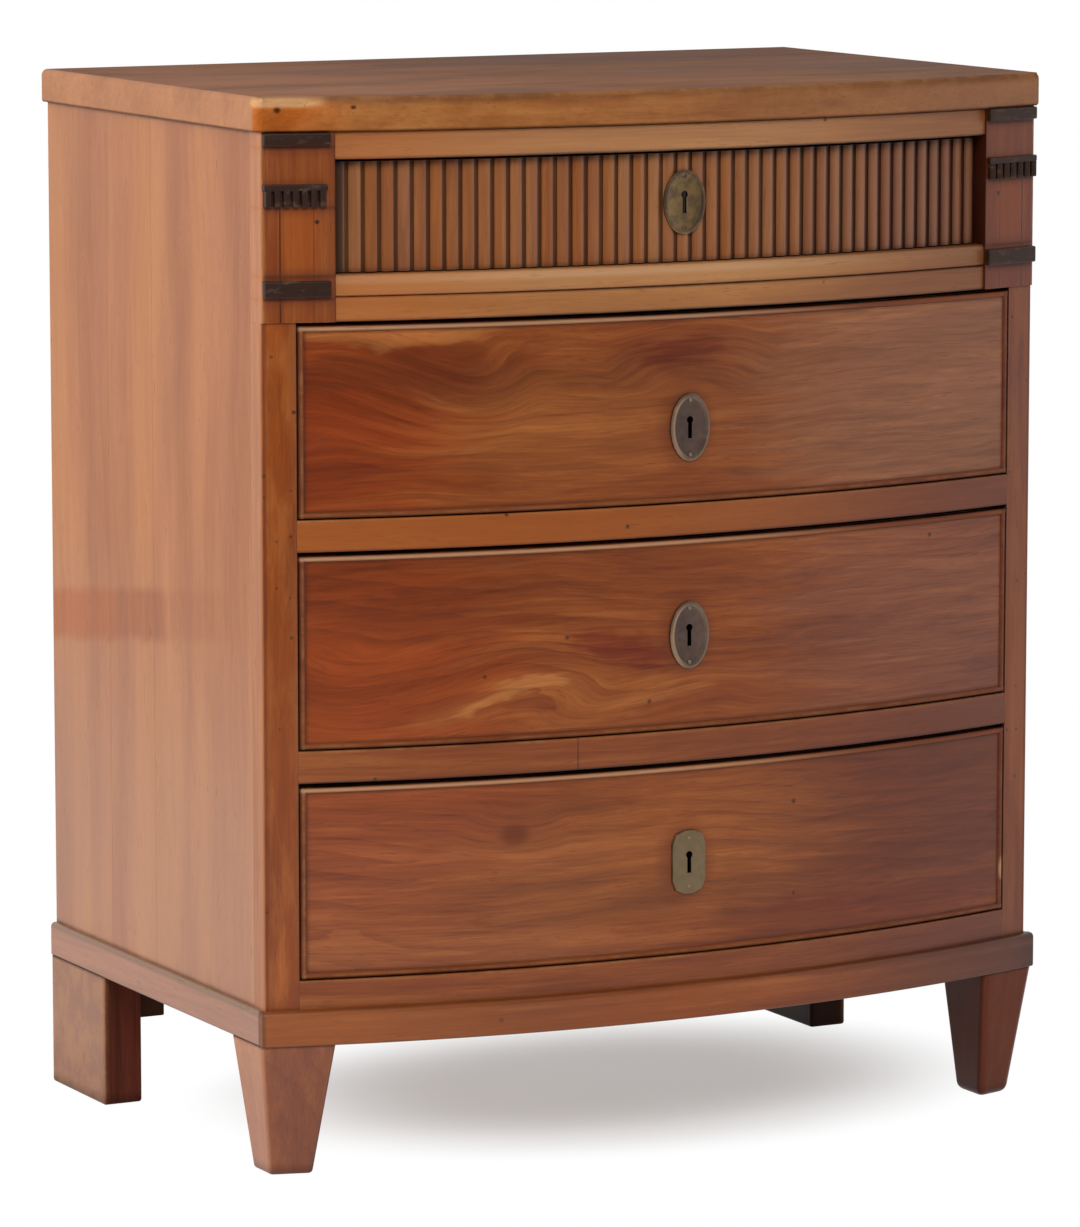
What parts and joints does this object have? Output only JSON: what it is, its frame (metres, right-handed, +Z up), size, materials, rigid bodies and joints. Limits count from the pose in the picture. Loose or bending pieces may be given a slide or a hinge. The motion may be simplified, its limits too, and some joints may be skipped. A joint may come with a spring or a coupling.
{
  "type": "chest of drawers",
  "caption": "Antique bow front chest with a reeded frieze drawer over deep drawers, beaded fronts, lock plates, black bands, a moulded plinth and tapered feet",
  "frame": {"origin": "on the floor, under the middle of the chest's outer box", "axes": "+X to the right seen from the front, +Y to the back, +Z up"},
  "size_m": [0.682, 0.458, 0.82],
  "materials": {
    "case_wood": "polished satin",
    "front_wood": "polished, figured",
    "black_wood": "worn black stain",
    "pale_wood": "bare, aged",
    "plate_brass": "tarnished",
    "lock_brass": "dull",
    "lock_iron": "dull"
  },
  "bodies": {
    "case": {"top_board": "case_wood", "top_rail": "case_wood", "frieze_rail": "case_wood", "upper_divider_rail": "case_wood", "lower_divider_rail": "case_wood", "bottom_rail": "case_wood", "frieze_moulding": "case_wood", "left_stile": "case_wood", "right_stile": "case_wood", "left_frieze_block": "case_wood", "right_frieze_block": "case_wood", "plain_bands": "black_wood", "dentil_bands": "black_wood", "bottom_board": "pale_wood", "left_side_panel": "case_wood", "right_side_panel": "case_wood", "back_boards": "pale_wood", "front_plinth": "case_wood", "left_plinth": "case_wood", "right_plinth": "case_wood", "front_left_foot": "case_wood", "front_right_foot": "case_wood", "rear_left_foot": "case_wood", "rear_right_foot": "case_wood", "foot_glue_blocks": "pale_wood", "drawer_runners": "pale_wood", "frieze_guides": "pale_wood", "drawer_stops": "pale_wood"},
    "frieze_drawer": {"frieze_drawer_front": "pale_wood", "reeded_facing": "front_wood", "frieze_drawer_sides": "pale_wood", "frieze_drawer_back": "pale_wood", "frieze_drawer_bottom": "pale_wood", "frieze_lock_case": "lock_brass", "frieze_lock_plate": "plate_brass"},
    "upper_drawer": {"upper_drawer_front": "front_wood", "upper_drawer_beads": "front_wood", "upper_drawer_sides": "pale_wood", "upper_drawer_back": "pale_wood", "upper_drawer_bottom": "pale_wood", "upper_lock_case": "lock_brass", "upper_lock_plate": "plate_brass"},
    "middle_drawer": {"middle_drawer_front": "front_wood", "middle_drawer_beads": "front_wood", "middle_drawer_sides": "pale_wood", "middle_drawer_back": "pale_wood", "middle_drawer_bottom": "pale_wood", "middle_lock_case": "lock_brass", "middle_lock_plate": "plate_brass"},
    "lower_drawer": {"lower_drawer_front": "front_wood", "lower_drawer_beads": "front_wood", "lower_drawer_sides": "pale_wood", "lower_drawer_back": "pale_wood", "lower_drawer_bottom": "pale_wood", "lower_lock_case": "lock_brass", "lower_lock_plate": "plate_brass"},
    "frieze_bolt": {"frieze_lock_bolt": "lock_iron"},
    "upper_bolt": {"upper_lock_bolt": "lock_iron"},
    "middle_bolt": {"middle_lock_bolt": "lock_iron"},
    "lower_bolt": {"lower_lock_bolt": "lock_iron"}
  },
  "joints": [
    {"name": "frieze_drawer_slide", "type": "slide", "parent": "case", "child": "frieze_drawer", "axis": [0, -1, 0], "range_m": [0, 0.28]},
    {"name": "upper_drawer_slide", "type": "slide", "parent": "case", "child": "upper_drawer", "axis": [0, -1, 0], "range_m": [0, 0.28]},
    {"name": "middle_drawer_slide", "type": "slide", "parent": "case", "child": "middle_drawer", "axis": [0, -1, 0], "range_m": [0, 0.28]},
    {"name": "lower_drawer_slide", "type": "slide", "parent": "case", "child": "lower_drawer", "axis": [0, -1, 0], "range_m": [0, 0.28]},
    {"name": "frieze_bolt_slide", "type": "slide", "parent": "frieze_drawer", "child": "frieze_bolt", "axis": [0, 0, 1], "range_m": [0, 0.008]},
    {"name": "upper_bolt_slide", "type": "slide", "parent": "upper_drawer", "child": "upper_bolt", "axis": [0, 0, 1], "range_m": [0, 0.008]},
    {"name": "middle_bolt_slide", "type": "slide", "parent": "middle_drawer", "child": "middle_bolt", "axis": [0, 0, 1], "range_m": [0, 0.008]},
    {"name": "lower_bolt_slide", "type": "slide", "parent": "lower_drawer", "child": "lower_bolt", "axis": [0, 0, 1], "range_m": [0, 0.008]}
  ]
}
